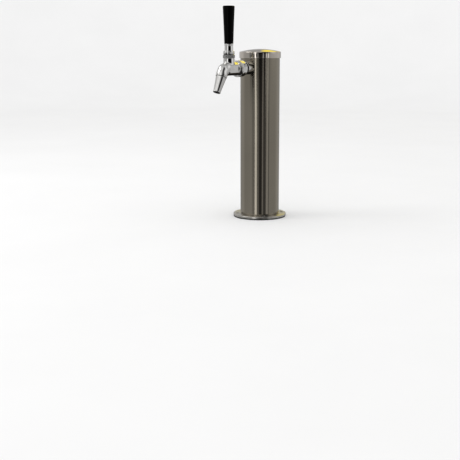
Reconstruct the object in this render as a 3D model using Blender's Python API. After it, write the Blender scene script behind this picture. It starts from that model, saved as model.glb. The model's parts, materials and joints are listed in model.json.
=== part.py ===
"""Single-faucet beer tap tower: column, cap, shank, ball-lever faucet and tap handle.

The row frame: +Z up, the faucet points to -Y, and the base stands on z = 0.
Lengths along the faucet are stations, measured forwards from the column's axis.
"""

from math import asin, cos, pi, radians, sin, tan

import bmesh
import bpy
from mathutils import Matrix, Vector

MM = 0.001
GAP = 0.3 * MM
ON_AXIS = 0.001 * MM

# Column, base and cap
COLUMN_RADIUS = 38.1 * MM
COLUMN_WALL = 1.2 * MM
COLUMN_TOP = 318.2 * MM
FLANGE_RADIUS = 52.0 * MM
FLANGE_TOP = 6.3 * MM
GASKET_THICKNESS = 2.0 * MM
SCREW_CIRCLE_RADIUS = 43.8 * MM
SCREW_HOLE_RADIUS = 3.25 * MM
SPIGOT_TOP = 26.0 * MM
LINER_TOP = 258.0 * MM
CAP_RADIUS = 40.0 * MM
CAP_SKIRT_BOTTOM = 309.0 * MM
CAP_SHOULDER = 321.2 * MM
CAP_TOP = 326.2 * MM
CAP_WALL = 1.2 * MM

# Shank and its hardware, along the faucet's axis
FAUCET_Z = 290.5 * MM
SHANK_RADIUS = 11.1 * MM
SHANK_BORE_RADIUS = 3.175 * MM
SHANK_BACK = 12.0 * MM
SHANK_HEAD_RADIUS = 13.9 * MM
SHANK_FRONT = 68.6 * MM
COLLAR_RADIUS = 12.4 * MM
COLLAR_FRONT = 53.0 * MM
NUT_RADIUS = 15.6 * MM
NUT_BACK = 62.2 * MM
NUT_FRONT = 75.0 * MM

# Faucet
FAUCET_BACK = 70.4 * MM
BARREL_BACK = 81.9 * MM
BARREL_RADIUS = 12.5 * MM
BARREL_FLAT = 10.9 * MM
CHAMBER_RADIUS = 7.2 * MM
SEAT_STATION = 111.6 * MM
SEAT_RADIUS = 4.7 * MM
ELBOW_STATION = 117.0 * MM
ELBOW_RADIUS = 9.8 * MM
BOSS_RADIUS = 10.2 * MM
BOSS_TOP = 309.9 * MM

# Spout, along its own axis from the elbow's centre
SPOUT_TILT = radians(26.0)
SPOUT_JOINT = 16.0 * MM
SPOUT_SHOULDER = 16.6 * MM
SPOUT_TOP_RADIUS = 9.8 * MM
SPOUT_TIP_RADIUS = 7.0 * MM
SPOUT_END = 46.1 * MM

# Lever and handle
LEVER_STATION = 100.0 * MM
PIVOT_Z = 304.4 * MM
TILT_RANGE = radians(28.0)
BALL_RADIUS = 6.5 * MM
NECK_RADIUS = 3.2 * MM
FINGER_RADIUS = 2.2 * MM
FINGER_TIP_RADIUS = 2.9 * MM
DOME_RADIUS = 16.0 * MM
DISH_RADIUS = 16.4 * MM
BONNET_RADIUS = 11.1 * MM
LEVER_COLLAR_RADIUS = 10.6 * MM
LEVER_COLLAR_TOP = 322.9 * MM
STUD_RADIUS = 4.76 * MM
GRIP_BOTTOM = 335.9 * MM
GRIP_TOP = 404.0 * MM

# The origin is the middle of the base of the whole object's box
FRONT_REACH = ELBOW_STATION + SPOUT_END * sin(SPOUT_TILT) + SPOUT_TIP_RADIUS * cos(SPOUT_TILT)
COLUMN_Y = (FRONT_REACH - FLANGE_RADIUS) / 2.0
LEVER_Y = COLUMN_Y - LEVER_STATION

COARSE = 20
FINE = 32
COLUMN_SEGMENTS = 48


# ---------------------------------------------------------------- places
def upright(y, z=0.0):
    """Local +Z stays up, at a place on the tower's plane of symmetry."""
    return Matrix.Translation((0.0, y, z))


def along_faucet():
    """Local +Z points forwards on the faucet's axis, so a height is a station."""
    return upright(COLUMN_Y, FAUCET_Z) @ Matrix.Rotation(pi / 2.0, 4, "X")


def along_spout():
    """Local +Z points down the spout, from the elbow's centre."""
    elbow = upright(COLUMN_Y - ELBOW_STATION, FAUCET_Z)
    return elbow @ Matrix.Rotation(pi - SPOUT_TILT, 4, "X")


def arc(radius, centre, start, end, steps):
    """Points (radius, height) of an arc whose centre is on the axis, by angle from +Z."""
    angles = [start + (end - start) * step / steps for step in range(steps + 1)]
    return [(radius * sin(angle), centre + radius * cos(angle)) for angle in angles]


# ---------------------------------------------------------------- materials
def material(name, colour, roughness, metallic):
    made = bpy.data.materials.new(name)
    made.use_nodes = True
    shader = made.node_tree.nodes["Principled BSDF"]
    shader.inputs["Base Color"].default_value = (*colour, 1.0)
    shader.inputs["Roughness"].default_value = roughness
    shader.inputs["Metallic"].default_value = metallic
    return made


def steel(name, roughness):
    return material(name, (0.55, 0.53, 0.49), roughness, 1.0)


def chrome(name):
    return material(name, (0.78, 0.78, 0.77), 0.08, 1.0)


def rubber(name):
    return material(name, (0.02, 0.02, 0.02), 0.6, 0.0)


# ---------------------------------------------------------------- solids
def add_object(name, mesh, place, skin):
    """Put a finished bmesh into the scene as one object."""
    bmesh.ops.remove_doubles(mesh, verts=mesh.verts, dist=ON_AXIS)
    bmesh.ops.recalc_face_normals(mesh, faces=mesh.faces)
    data = bpy.data.meshes.new(name)
    mesh.to_mesh(data)
    mesh.free()
    made = bpy.data.objects.new(name, data)
    made.matrix_world = place
    bpy.context.collection.objects.link(made)
    if skin:
        data.materials.append(skin)
    return made


def revolve(name, outline, place, skin=None, segments=FINE):
    """Turn an outline of (radius, height) points once round local +Z.

    An outline that starts and ends on the axis is left open; any other is a closed loop.
    """
    mesh = bmesh.new()
    ring = [mesh.verts.new((radius, 0.0, height)) for radius, height in outline]
    pairs = list(zip(ring, ring[1:]))
    if outline[0][0] > ON_AXIS:
        pairs.append((ring[-1], ring[0]))
    edges = [mesh.edges.new(pair) for pair in pairs]
    bmesh.ops.spin(
        mesh, geom=ring + edges, cent=(0.0, 0.0, 0.0), axis=(0.0, 0.0, 1.0),
        angle=2.0 * pi, steps=segments, use_merge=True,
    )
    return add_object(name, mesh, place, skin)


def prism(name, outline, half_width, place=Matrix(), skin=None):
    """Extrude an outline of (y, z) points by half_width to each side in X."""
    mesh = bmesh.new()
    verts = [mesh.verts.new((-half_width, y, z)) for y, z in outline]
    face = mesh.faces.new(verts)
    extruded = bmesh.ops.extrude_face_region(mesh, geom=[face])
    moved = [item for item in extruded["geom"] if isinstance(item, bmesh.types.BMVert)]
    bmesh.ops.translate(mesh, verts=moved, vec=(2.0 * half_width, 0.0, 0.0))
    return add_object(name, mesh, place, skin)


def torus(name, ring_radius, tube_radius, height, place, skin):
    """An O-ring round local +Z."""
    sides = 8
    angles = [2.0 * pi * side / sides for side in range(sides)]
    outline = [(ring_radius + tube_radius * cos(a), height + tube_radius * sin(a)) for a in angles]
    return revolve(name, outline, place, skin, COARSE)


def boolean(target, tool, operation):
    """Combine target with a tool object that then stays as a hidden guide."""
    tool.hide_render = True
    tool.display_type = "WIRE"
    modifier = target.modifiers.new(tool.name, "BOOLEAN")
    modifier.operation = operation
    modifier.solver = "EXACT"
    modifier.object = tool


def cut(target, *tools):
    for tool in tools:
        boolean(target, tool, "DIFFERENCE")


def join(target, *tools):
    for tool in tools:
        boolean(target, tool, "UNION")


def hang_on(parent_name, place, children):
    """Parent finished pieces to an empty that marks their joint's place."""
    parent = bpy.data.objects.new(parent_name, None)
    parent.matrix_world = place
    bpy.context.collection.objects.link(parent)
    for child in children:
        child.parent = parent
        child.matrix_parent_inverse = place.inverted()


# ---------------------------------------------------------------- base and column
def screw_holes():
    """One guide with the four screw holes, through gasket and flange."""
    mesh = bmesh.new()
    for quarter in range(4):
        angle = pi / 4.0 + quarter * pi / 2.0
        centre = Vector((cos(angle), sin(angle), 0.0)) * SCREW_CIRCLE_RADIUS
        bmesh.ops.create_cone(
            mesh, cap_ends=True, segments=16, radius1=SCREW_HOLE_RADIUS, radius2=SCREW_HOLE_RADIUS,
            depth=4.0 * FLANGE_TOP, matrix=Matrix.Translation(centre),
        )
    return add_object("screw_hole_cutter", mesh, upright(COLUMN_Y), None)


def build_base():
    holes = screw_holes()
    opening = 33.6 * MM
    chamfer = 0.8 * MM
    gasket_outer = FLANGE_RADIUS - GAP
    gasket = revolve(
        "base_gasket",
        [(opening, 0.0), (gasket_outer, 0.0), (gasket_outer, GASKET_THICKNESS), (opening, GASKET_THICKNESS)],
        upright(COLUMN_Y), rubber("gasket_rubber"), COLUMN_SEGMENTS,
    )
    bottom = GASKET_THICKNESS + GAP
    flange = revolve(
        "base_flange",
        [
            (opening, bottom), (FLANGE_RADIUS - chamfer, bottom), (FLANGE_RADIUS, bottom + chamfer),
            (FLANGE_RADIUS, FLANGE_TOP - chamfer), (FLANGE_RADIUS - chamfer, FLANGE_TOP),
            (opening, FLANGE_TOP),
        ],
        upright(COLUMN_Y), steel("flange_steel", 0.35), COLUMN_SEGMENTS,
    )
    spigot_bottom = FLANGE_TOP + GAP
    spigot = COLUMN_RADIUS - COLUMN_WALL - GAP
    revolve(
        "column_spigot",
        [
            (opening, spigot_bottom), (spigot, spigot_bottom), (spigot, SPIGOT_TOP - chamfer),
            (spigot - chamfer, SPIGOT_TOP), (opening, SPIGOT_TOP),
        ],
        upright(COLUMN_Y), steel("spigot_steel", 0.35), COLUMN_SEGMENTS,
    )
    cut(gasket, holes)
    cut(flange, holes)


def build_column():
    inner = COLUMN_RADIUS - COLUMN_WALL
    bottom = FLANGE_TOP + GAP
    tube = revolve(
        "column_tube",
        [(inner, bottom), (COLUMN_RADIUS, bottom), (COLUMN_RADIUS, COLUMN_TOP), (inner, COLUMN_TOP)],
        upright(COLUMN_Y), steel("column_steel", 0.3), COLUMN_SEGMENTS,
    )
    hole_radius = SHANK_RADIUS + 2.0 * GAP
    hole = [(0.0, COLUMN_RADIUS / 2.0), (hole_radius, COLUMN_RADIUS / 2.0)]
    hole += [(hole_radius, COLUMN_RADIUS * 1.2), (0.0, COLUMN_RADIUS * 1.2)]
    cut(tube, revolve("column_hole_cutter", hole, along_faucet()))
    liner_outer = inner - 2.0 * GAP
    liner_inner = 22.0 * MM
    bottom = SPIGOT_TOP + GAP
    revolve(
        "foam_liner",
        [(liner_inner, bottom), (liner_outer, bottom), (liner_outer, LINER_TOP), (liner_inner, LINER_TOP)],
        upright(COLUMN_Y), material("liner_foam", (0.12, 0.12, 0.13), 0.95, 0.0),
    )


def build_cap():
    rise = CAP_TOP - CAP_SHOULDER
    chord = CAP_RADIUS - CAP_WALL
    dome = (chord ** 2 + rise ** 2) / (2.0 * rise)
    centre = CAP_TOP - dome
    edge = asin(chord / dome)
    inner_edge = asin((chord - CAP_WALL) / dome)
    skirt_inner = CAP_RADIUS - 1.5 * MM
    outline = arc(dome, centre, 0.0, edge, 4)
    outline += [(CAP_RADIUS - 0.35 * CAP_WALL, CAP_SHOULDER - 0.35 * CAP_WALL)]
    outline += [(CAP_RADIUS, CAP_SHOULDER - CAP_WALL), (CAP_RADIUS, CAP_SKIRT_BOTTOM)]
    outline += [(skirt_inner, CAP_SKIRT_BOTTOM), (skirt_inner, CAP_SHOULDER - 1.6 * CAP_WALL)]
    outline += arc(dome - CAP_WALL, centre, inner_edge, 0.0, 4)
    cap = revolve("top_cap", outline, upright(COLUMN_Y), steel("cap_steel", 0.28), COLUMN_SEGMENTS)
    plug_inner = 34.3 * MM
    plug_outer = COLUMN_RADIUS - COLUMN_WALL - GAP
    plug_bottom = CAP_SKIRT_BOTTOM + 3.4 * MM
    lip_bottom = COLUMN_TOP + GAP / 2.0
    lip_top = lip_bottom + 0.7 * MM
    ring = revolve(
        "cap_grip_ring",
        [
            (plug_inner, plug_bottom), (plug_outer, plug_bottom), (plug_outer, lip_bottom),
            (COLUMN_RADIUS, lip_bottom), (COLUMN_RADIUS, lip_top), (plug_inner, lip_top),
        ],
        upright(COLUMN_Y), rubber("cap_ring_rubber"), FINE,
    )
    hang_on("cap_slide", upright(COLUMN_Y), [cap, ring])


# ---------------------------------------------------------------- shank and tailpiece
def build_shank():
    chamfer = 0.6 * MM
    throat = 5.0 * MM
    revolve(
        "shank",
        [
            (SHANK_BORE_RADIUS, SHANK_BACK), (SHANK_RADIUS - chamfer, SHANK_BACK),
            (SHANK_RADIUS, SHANK_BACK + chamfer), (SHANK_RADIUS, SHANK_FRONT - 12.1 * MM),
            (SHANK_HEAD_RADIUS, SHANK_FRONT - 9.6 * MM), (SHANK_HEAD_RADIUS, SHANK_FRONT),
            (throat, SHANK_FRONT), (SHANK_BORE_RADIUS, SHANK_FRONT - 3.0 * MM),
        ],
        along_faucet(), steel("shank_steel", 0.25), COARSE,
    )
    bore = SHANK_RADIUS + GAP
    collar = revolve(
        "shank_collar",
        [
            (bore, 0.8 * COLUMN_RADIUS), (COLLAR_RADIUS, 0.8 * COLUMN_RADIUS),
            (COLLAR_RADIUS, COLLAR_FRONT - chamfer), (COLLAR_RADIUS - chamfer, COLLAR_FRONT),
            (bore, COLLAR_FRONT),
        ],
        along_faucet(), chrome("collar_chrome"), FINE,
    )
    saddle = COLUMN_RADIUS + GAP
    saddle_bottom = FAUCET_Z - 2.0 * COLLAR_RADIUS
    saddle_top = FAUCET_Z + 2.0 * COLLAR_RADIUS
    cylinder = [(0.0, saddle_bottom), (saddle, saddle_bottom), (saddle, saddle_top), (0.0, saddle_top)]
    cut(collar, revolve("collar_saddle_cutter", cylinder, upright(COLUMN_Y), None, COLUMN_SEGMENTS))


def build_back_hardware():
    bore = SHANK_RADIUS + GAP
    flat_side = 31.5 * MM
    outer = 15.5 * MM
    washer = revolve(
        "inner_saddle_washer",
        [(bore, flat_side), (outer, flat_side), (outer, COLUMN_RADIUS), (bore, COLUMN_RADIUS)],
        along_faucet(), steel("washer_steel", 0.4), COARSE,
    )
    wall = COLUMN_RADIUS - COLUMN_WALL - GAP
    low = FAUCET_Z - 2.0 * outer
    high = FAUCET_Z + 2.0 * outer
    cylinder = revolve(
        "washer_back_cutter", [(0.0, low), (wall, low), (wall, high), (0.0, high)],
        upright(COLUMN_Y), None, COLUMN_SEGMENTS,
    )
    boolean(washer, cylinder, "INTERSECT")
    hex_nut("shank_lock_nut", 30.0 * MM, bore, flat_side - 8.3 * MM, flat_side - GAP)


def hex_nut(name, across_flats, bore, back, front):
    """A hexagonal nut on the faucet's axis, drilled through."""
    corner = across_flats / 2.0 / cos(pi / 6.0)
    chamfer = 0.8 * MM
    nut = revolve(
        name,
        [
            (0.0, back), (corner - chamfer, back), (corner, back + chamfer),
            (corner, front - chamfer), (corner - chamfer, front), (0.0, front),
        ],
        along_faucet(), steel(name + "_steel", 0.35), 6,
    )
    margin = 1.0 * MM
    drill = [(0.0, back - margin), (bore, back - margin), (bore, front + margin), (0.0, front + margin)]
    cut(nut, revolve(name + "_cutter", drill, along_faucet(), None, COARSE))
    return nut


def build_tailpiece():
    washer_front = SHANK_BACK - GAP
    washer_back = washer_front - 1.3 * MM
    flange_front = washer_back - GAP
    flange_back = flange_front - 1.3 * MM
    bore = 2.4 * MM
    inner = 3.5 * MM
    outer = 9.8 * MM
    revolve(
        "tailpiece_washer",
        [(inner, washer_back), (outer, washer_back), (outer, washer_front), (inner, washer_front)],
        along_faucet(), rubber("tailpiece_rubber"), COARSE,
    )
    shoulder_front = flange_back - GAP
    nut_back = shoulder_front - 3.0 * MM
    nut_front = SHANK_BACK + 7.0 * MM
    nut = hex_nut("tailpiece_nut", 27.0 * MM, 5.0 * MM, nut_back, nut_front)
    thread = SHANK_RADIUS + GAP
    margin = 1.0 * MM
    socket = [(0.0, shoulder_front), (thread, shoulder_front), (thread, nut_front + margin)]
    socket += [(0.0, nut_front + margin)]
    cut(nut, revolve("tailpiece_thread_cutter", socket, along_faucet(), None, COARSE))

    tube = 4.2 * MM
    flange = 9.6 * MM
    bend = 6.0 * MM
    bend_station = 3.0 * MM
    straight = [(flange_front, flange), (flange_back, flange), (flange_back, tube), (bend_station, tube)]
    stations = [((station, 0.0), (-1.0, 0.0), outer) for station, outer in straight]
    for step in range(1, 7):
        angle = pi / 2.0 * step / 6
        point = (bend_station - bend * sin(angle), -bend * (1.0 - cos(angle)))
        stations.append((point, (-cos(angle), -sin(angle)), tube))
    down = bend_station - bend
    barb_length = 5.0 * MM
    barb_top = -12.0 * MM
    root = 3.4 * MM
    crest = 4.4 * MM
    stations.append(((down, barb_top), (0.0, -1.0), root))
    for barb in range(3):
        height = barb_top - barb * barb_length
        stations.append(((down, height), (0.0, -1.0), crest))
        stations.append(((down, height - barb_length), (0.0, -1.0), root))
    bent_tube("tailpiece_elbow", stations, bore, steel("tailpiece_steel", 0.3))


def bent_tube(name, stations, bore, skin):
    """A drilled tube through stations of ((station, height), direction, outer radius)."""
    segments = 12
    mesh = bmesh.new()

    def ring(point, direction, radius):
        normal = (-direction[1], direction[0])
        verts = []
        for step in range(segments):
            angle = 2.0 * pi * step / segments
            across = radius * sin(angle)
            station = point[0] + normal[0] * across
            height = point[1] + normal[1] * across
            verts.append(mesh.verts.new((radius * cos(angle), -station, height)))
        return verts

    skins = [ring(point, direction, outer) for point, direction, outer in stations]
    skins += [ring(point, direction, bore) for point, direction, _ in reversed(stations)]
    for one, other in zip(skins, skins[1:] + skins[:1]):
        for step in range(segments):
            after = (step + 1) % segments
            mesh.faces.new((one[step], one[after], other[after], other[step]))
    return add_object(name, mesh, upright(COLUMN_Y, FAUCET_Z), skin)


# ---------------------------------------------------------------- coupling
def build_coupling():
    thread = SHANK_HEAD_RADIUS + GAP
    lip_bore = 9.4 * MM
    lip_back = NUT_FRONT - 2.0 * MM
    lip_front = NUT_FRONT - 0.6 * MM
    rim = NUT_RADIUS - 1.7 * MM
    chamfer = 0.5 * MM
    nut = revolve(
        "coupling_nut",
        [
            (thread, NUT_BACK), (NUT_RADIUS - chamfer, NUT_BACK), (NUT_RADIUS, NUT_BACK + chamfer),
            (NUT_RADIUS, NUT_FRONT - chamfer), (NUT_RADIUS - chamfer, NUT_FRONT), (rim, NUT_FRONT),
            (rim - chamfer, lip_front), (lip_bore, lip_front), (lip_bore, lip_back), (thread, lip_back),
        ],
        along_faucet(), chrome("nut_chrome"), FINE,
    )
    mesh = bmesh.new()
    middle = (NUT_BACK + NUT_FRONT) / 2.0
    holes = 6
    hole_radius = 1.6 * MM
    for step in range(holes):
        turn = Matrix.Rotation(pi / 6.0 + 2.0 * pi * step / holes, 4, "Z")
        shift = Matrix.Translation((NUT_RADIUS, 0.0, middle))
        bmesh.ops.create_cone(
            mesh, cap_ends=True, segments=10, radius1=hole_radius, radius2=hole_radius, depth=4.0 * MM,
            matrix=turn @ shift @ Matrix.Rotation(pi / 2.0, 4, "Y"),
        )
    cut(nut, add_object("spanner_hole_cutter", mesh, along_faucet(), None))
    inner = 6.0 * MM
    outer = 13.0 * MM
    back = SHANK_FRONT + GAP
    front = FAUCET_BACK - GAP
    revolve(
        "faucet_washer",
        [(inner, back), (outer, back), (outer, front), (inner, front)],
        along_faucet(), rubber("faucet_rubber"), COARSE,
    )


# ---------------------------------------------------------------- faucet body
def lever_clearance(radius, height):
    """How far the tilted lever reaches at a height from the ball's centre, with 0.35 mm to spare."""
    return height * tan(TILT_RANGE) + radius / cos(TILT_RANGE) + 0.35 * MM


def build_faucet_body():
    flange = 13.2 * MM
    neck = 9.0 * MM
    collar = BARREL_RADIUS + 0.5 * MM
    barrel = [
        (0.0, FAUCET_BACK), (flange, FAUCET_BACK), (flange, FAUCET_BACK + 2.2 * MM),
        (neck, FAUCET_BACK + 2.5 * MM), (neck, BARREL_BACK - 5.0 * MM),
        (neck + 0.9 * MM, BARREL_BACK - 2.5 * MM), (BARREL_RADIUS, BARREL_BACK - 0.4 * MM),
        (collar, BARREL_BACK), (collar, BARREL_BACK + 1.1 * MM), (BARREL_RADIUS, BARREL_BACK + 1.6 * MM),
        (BARREL_RADIUS, ELBOW_STATION - 8.5 * MM), (BARREL_RADIUS - 0.4 * MM, ELBOW_STATION - 6.0 * MM),
        (BARREL_RADIUS - 1.4 * MM, ELBOW_STATION - 3.3 * MM),
    ]
    barrel += arc(ELBOW_RADIUS, ELBOW_STATION, pi / 2.0, 0.0, 7)
    body = revolve("faucet_body", barrel, along_faucet(), steel("faucet_steel", 0.1), FINE)
    root = BOSS_RADIUS + 0.4 * MM
    thread = BOSS_RADIUS - 0.8 * MM
    thread_top = BOSS_TOP + 3.1 * MM
    boss = [
        (0.0, FAUCET_Z), (root, FAUCET_Z), (root, FAUCET_Z + 10.5 * MM), (BOSS_RADIUS, FAUCET_Z + 12.5 * MM),
        (BOSS_RADIUS, BOSS_TOP - 0.4 * MM), (BOSS_RADIUS - 0.4 * MM, BOSS_TOP), (thread, BOSS_TOP),
        (thread, thread_top), (0.0, thread_top),
    ]
    socket = [
        (0.0, 0.0), (9.4 * MM, 0.0), (10.4 * MM, 4.0 * MM), (10.7 * MM, 9.0 * MM), (10.2 * MM, SPOUT_JOINT),
        (0.0, SPOUT_JOINT),
    ]
    join(body, revolve("boss_guide", boss, upright(LEVER_Y)), revolve("socket_guide", socket, along_spout()))

    side = 20.0 * MM
    front = COLUMN_Y - BARREL_BACK - 2.1 * MM
    back = COLUMN_Y - LEVER_STATION - 9.0 * MM
    half_height = 6.5 * MM
    panel = [(front, FAUCET_Z - half_height), (back, FAUCET_Z - half_height)]
    panel += [(back, FAUCET_Z + half_height), (front, FAUCET_Z + half_height)]
    for sign, name in ((1.0, "right_panel_cutter"), (-1.0, "left_panel_cutter")):
        shift = Matrix.Translation((sign * (BARREL_FLAT + side), 0.0, 0.0))
        cut(body, prism(name, panel, side, shift))

    start = FAUCET_BACK - 1.0 * MM
    seat_end = SEAT_STATION + 3.4 * MM
    chamber = [
        (0.0, start), (CHAMBER_RADIUS, start), (CHAMBER_RADIUS, SEAT_STATION - 1.0 * MM),
        (SEAT_RADIUS, SEAT_STATION), (SEAT_RADIUS, seat_end), (0.0, seat_end),
    ]
    elbow_hollow = arc(6.6 * MM, ELBOW_STATION + 1.0 * MM, pi, 0.0, 12)
    passage = 6.0 * MM
    spout_bore = 7.9 * MM
    counterbore = 9.3 * MM
    counterbore_start = SPOUT_JOINT - 1.5 * MM
    bore_end = SPOUT_JOINT + 1.0 * MM
    bore = [
        (0.0, 3.0 * MM), (passage, 3.6 * MM), (passage, 7.0 * MM), (spout_bore, 7.4 * MM),
        (spout_bore, counterbore_start), (counterbore, counterbore_start), (counterbore, bore_end),
        (0.0, bore_end),
    ]
    floor = PIVOT_Z - 5.1 * MM
    top = BOSS_TOP + 4.0 * MM
    well = 4.6 * MM
    well_bottom = FAUCET_Z + 1.3 * MM
    seal_bore = 7.95 * MM
    ring_bore = 8.3 * MM
    seat = [
        (0.0, well_bottom), (well, well_bottom), (well, floor), (seal_bore, floor),
        (seal_bore, floor + 3.5 * MM), (ring_bore, floor + 3.9 * MM), (ring_bore, top), (0.0, top),
    ]
    low = FAUCET_Z - PIVOT_Z + 5.0 * MM
    high = floor - PIVOT_Z + 0.2 * MM
    swing = [
        (LEVER_Y - 4.0 * MM, PIVOT_Z + low), (LEVER_Y + lever_clearance(FINGER_RADIUS, -low), PIVOT_Z + low),
        (LEVER_Y + lever_clearance(FINGER_RADIUS, -high), PIVOT_Z + high),
        (LEVER_Y - 4.0 * MM, PIVOT_Z + high),
    ]
    cut(
        body,
        revolve("chamber_cutter", chamber, along_faucet()),
        revolve("elbow_hollow_cutter", elbow_hollow, along_faucet(), None, COARSE),
        revolve("spout_bore_cutter", bore, along_spout(), None, COARSE),
        prism("finger_swing_cutter", swing, 3.2 * MM),
        revolve("ball_seat_cutter", seat, upright(LEVER_Y)),
    )


def build_spout():
    neck = 7.6 * MM
    neck_end = SPOUT_JOINT - 8.0 * MM
    lip = 1.4 * MM
    mouth = 5.2 * MM
    throat = 5.8 * MM
    revolve(
        "spout",
        [
            (throat, neck_end), (neck - GAP, neck_end), (neck, neck_end + 2.0 * GAP),
            (neck, SPOUT_SHOULDER), (SPOUT_TOP_RADIUS - GAP, SPOUT_SHOULDER),
            (SPOUT_TOP_RADIUS, SPOUT_SHOULDER + 0.5 * MM),
            (SPOUT_TIP_RADIUS - 0.2 * MM, SPOUT_END - 1.1 * lip),
            (SPOUT_TIP_RADIUS, SPOUT_END - 0.7 * lip), (SPOUT_TIP_RADIUS, SPOUT_END),
            (mouth, SPOUT_END), (mouth, SPOUT_END - 2.0 * lip), (throat, SPOUT_SHOULDER + 3.4 * MM),
        ],
        along_spout(), steel("spout_steel", 0.1), COARSE,
    )
    seal_inner = neck + GAP
    seal_outer = 9.0 * MM
    seal_top = SPOUT_JOINT - 1.2 * MM
    seal_bottom = SPOUT_SHOULDER - GAP
    seal = [(seal_inner, seal_top), (seal_outer, seal_top)]
    seal += [(seal_outer, seal_bottom), (seal_inner, seal_bottom)]
    revolve("spout_oring", seal, along_spout(), rubber("spout_rubber"), COARSE)


# ---------------------------------------------------------------- lever, shuttle and handle
def build_bonnet():
    thread = BOSS_RADIUS - 0.5 * MM
    bottom = BOSS_TOP + GAP
    groove_top = BOSS_TOP + 3.4 * MM
    plug = 7.6 * MM
    underside = PIVOT_Z + 7.0 * MM
    rim = asin((BONNET_RADIUS - 1.2 * MM) / DOME_RADIUS)
    outline = arc(DOME_RADIUS, PIVOT_Z, 0.0, rim, 5)
    outline += [(BONNET_RADIUS, PIVOT_Z + 11.6 * MM), (BONNET_RADIUS, bottom + GAP)]
    outline += [(BONNET_RADIUS - GAP, bottom), (thread, bottom), (thread, groove_top)]
    outline += [(plug, groove_top), (plug, underside), (0.0, underside)]
    bonnet = revolve("bonnet", outline, upright(LEVER_Y), steel("bonnet_steel", 0.2), FINE)
    back = LEVER_Y + NECK_RADIUS + 0.4 * MM
    low = underside - PIVOT_Z - 1.0 * MM
    high = DOME_RADIUS + 1.5 * MM
    slot = [
        (back, PIVOT_Z + low), (LEVER_Y - lever_clearance(NECK_RADIUS, low), PIVOT_Z + low),
        (LEVER_Y - lever_clearance(NECK_RADIUS, high), PIVOT_Z + high), (back, PIVOT_Z + high),
    ]
    cut(bonnet, prism("neck_slot_cutter", slot, NECK_RADIUS + 0.35 * MM))

    seat = BALL_RADIUS + GAP
    retainer = radians(61.0)
    ring_outer = 8.0 * MM
    ring_top = 6.7 * MM
    ring = arc(seat, PIVOT_Z, radians(79.0), retainer, 2)
    ring += [(lever_clearance(NECK_RADIUS, ring_top), PIVOT_Z + ring_top), (ring_outer, PIVOT_Z + ring_top)]
    ring += [(ring_outer, PIVOT_Z + seat * cos(radians(79.0)))]
    nylon = material("bearing_nylon", (0.75, 0.74, 0.7), 0.5, 0.0)
    revolve("ball_bearing_ring", ring, upright(LEVER_Y), nylon, COARSE)

    tube = 1.0 * MM
    contact = radians(120.0)
    distance = BALL_RADIUS + tube + 0.2 * MM
    torus(
        "ball_seal_oring", distance * sin(contact), tube, PIVOT_Z + distance * cos(contact),
        upright(LEVER_Y), rubber("ball_rubber"),
    )


def build_lever():
    """Finger, ball, neck and threaded stud in one turned piece."""
    tip_end = asin(FINGER_RADIUS / FINGER_TIP_RADIUS)
    below = pi - asin(FINGER_RADIUS / BALL_RADIUS)
    above = asin(NECK_RADIUS / BALL_RADIUS)
    stud_bottom = PIVOT_Z + DISH_RADIUS + 0.8 * MM
    stud_top = GRIP_BOTTOM + 14.0 * MM
    outline = arc(FINGER_TIP_RADIUS, FAUCET_Z, pi, tip_end, 6)
    outline += arc(BALL_RADIUS, PIVOT_Z, below, above, 10)
    outline += [(NECK_RADIUS, stud_bottom - 0.8 * MM), (STUD_RADIUS - 0.4 * MM, stud_bottom - 0.3 * MM)]
    outline += [(STUD_RADIUS, stud_bottom), (STUD_RADIUS, stud_top - 0.6 * MM)]
    outline += [(STUD_RADIUS - 0.6 * MM, stud_top), (0.0, stud_top)]
    return revolve("lever", outline, upright(LEVER_Y), steel("lever_steel", 0.12), COARSE)


def build_lever_collar():
    bore = STUD_RADIUS + GAP
    rim = asin((LEVER_COLLAR_RADIUS - 0.9 * MM) / DISH_RADIUS)
    outline = arc(DISH_RADIUS, PIVOT_Z, asin(bore / DISH_RADIUS), rim, 3)
    outline += [(LEVER_COLLAR_RADIUS, PIVOT_Z + DISH_RADIUS * cos(rim) + 0.8 * MM)]
    outline += [(LEVER_COLLAR_RADIUS, LEVER_COLLAR_TOP - 0.9 * MM)]
    outline += [(LEVER_COLLAR_RADIUS - 0.5 * MM, LEVER_COLLAR_TOP), (bore, LEVER_COLLAR_TOP)]
    return revolve("lever_collar", outline, upright(LEVER_Y), chrome("lever_collar_chrome"), FINE)


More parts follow.
